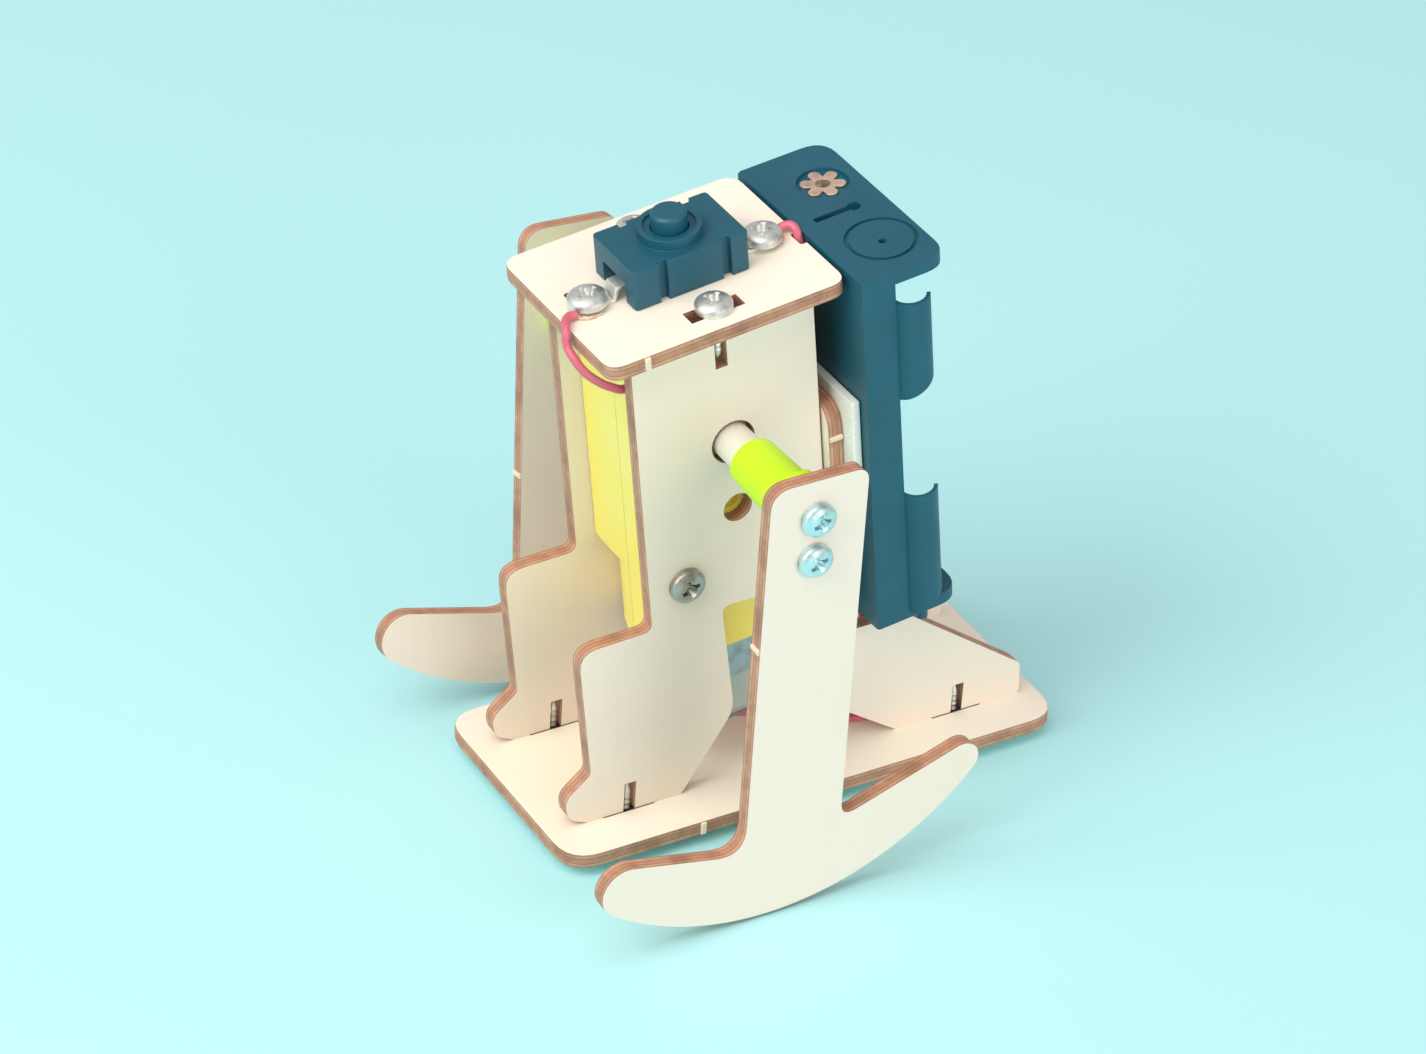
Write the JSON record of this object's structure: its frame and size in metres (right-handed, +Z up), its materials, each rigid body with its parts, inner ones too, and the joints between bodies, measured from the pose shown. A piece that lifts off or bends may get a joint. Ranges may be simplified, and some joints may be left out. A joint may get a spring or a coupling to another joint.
{
  "type": "walking robot kit",
  "caption": "Two-legged walking robot kit: laser-cut plywood chassis and rocker legs on a yellow gear motor, push switch on top, empty battery holder behind.",
  "frame": {"origin": "centre of the base plate's underside; the robot stands on the screw heads 1.8 mm below it", "axes": "+Z up, -Y the way the toes point, +X towards the robot's own left leg"},
  "size_m": [0.0748, 0.0861, 0.0922],
  "materials": {
    "plywood": "laser-cut basswood plywood, unfinished, scorched cut edges",
    "foam": "white double-sided foam tape",
    "yellow_plastic": "satin moulded",
    "black_plastic": "satin moulded",
    "lime_plastic": "fluorescent, satin moulded",
    "clear_plastic": "clear",
    "white_plastic": "satin moulded",
    "ferrite": "matte sintered",
    "red_insulation": "satin",
    "copper": "bright",
    "motor_steel": "plated",
    "steel": "zinc plated"
  },
  "bodies": {
    "chassis": {"base_plate": "plywood", "base_screw_left_front": "steel", "base_screw_left_rear": "steel", "base_screw_right_front": "steel", "base_screw_right_rear": "steel", "battery_contact_bottom": "steel", "battery_contact_top": "steel", "battery_holder": "black_plastic", "battery_lug_left": "copper", "battery_lug_right": "copper", "battery_rivet": "copper", "battery_spring_bottom": "steel", "battery_spring_top": "steel", "crown_axle": "steel", "deck_plate": "plywood", "deck_screw_left": "steel", "deck_screw_right": "steel", "foam_tape": "foam", "gearbox_shell_left": "yellow_plastic", "gearbox_shell_right": "yellow_plastic", "lead_battery_motor": "red_insulation", "lead_switch_battery": "red_insulation", "lead_switch_motor": "red_insulation", "middle_axle": "steel", "motor_can": "motor_steel", "motor_end_cap": "white_plastic", "motor_magnet_front": "ferrite", "motor_magnet_rear": "ferrite", "motor_screw_left_front": "steel", "motor_screw_left_rear": "steel", "motor_screw_right_front": "steel", "motor_screw_right_rear": "steel", "motor_strap": "clear_plastic", "motor_terminal_front": "copper", "motor_terminal_rear": "copper", "rear_plate": "plywood", "side_panel_left": "plywood", "side_panel_right": "plywood", "switch_body": "black_plastic", "switch_spring": "steel", "switch_terminal_front": "steel", "switch_terminal_rear": "steel", "terminal_screw_front": "steel", "terminal_screw_rear": "steel"},
    "legs": {"hub_left": "lime_plastic", "hub_right": "lime_plastic", "leg_left": "plywood", "leg_right": "plywood", "leg_screw_left_lower": "steel", "leg_screw_left_upper": "steel", "leg_screw_right_lower": "steel", "leg_screw_right_upper": "steel", "output_shaft": "white_plastic"},
    "middle_gear": {"middle_gear": "white_plastic"},
    "crown_gear": {"crown_gear": "white_plastic"},
    "rotor": {"motor_armature": "motor_steel", "motor_pinion": "white_plastic"},
    "button": {"switch_button": "black_plastic"}
  },
  "joints": [
    {"name": "drive", "type": "hinge", "parent": "chassis", "child": "legs", "pos_m": [0, -0.0141, 0.0594], "axis": [1, 0, 0], "continuous": true},
    {"name": "middle_gear_spin", "type": "hinge", "parent": "chassis", "child": "middle_gear", "pos_m": [0, -0.01263, 0.04825], "axis": [1, 0, 0], "continuous": true},
    {"name": "crown_gear_spin", "type": "hinge", "parent": "chassis", "child": "crown_gear", "pos_m": [0, -0.01154, 0.03992], "axis": [1, 0, 0], "continuous": true},
    {"name": "rotor_spin", "type": "hinge", "parent": "chassis", "child": "rotor", "pos_m": [0, -0.0141, 0.0594], "axis": [0, -0.1305, 0.9914], "continuous": true},
    {"name": "button_press", "type": "slide", "parent": "chassis", "child": "button", "axis": [0, 0.1305, -0.9914], "range_m": [0, 0.0016], "stiffness_N_per_m": 400, "springref_m": -0.001, "deforming": ["switch_spring"]}
  ],
  "couplings": [
    {"joint": "middle_gear_spin", "follows": "drive", "ratio": -4},
    {"joint": "crown_gear_spin", "follows": "drive", "ratio": 12.8},
    {"joint": "rotor_spin", "follows": "drive", "ratio": 48}
  ]
}
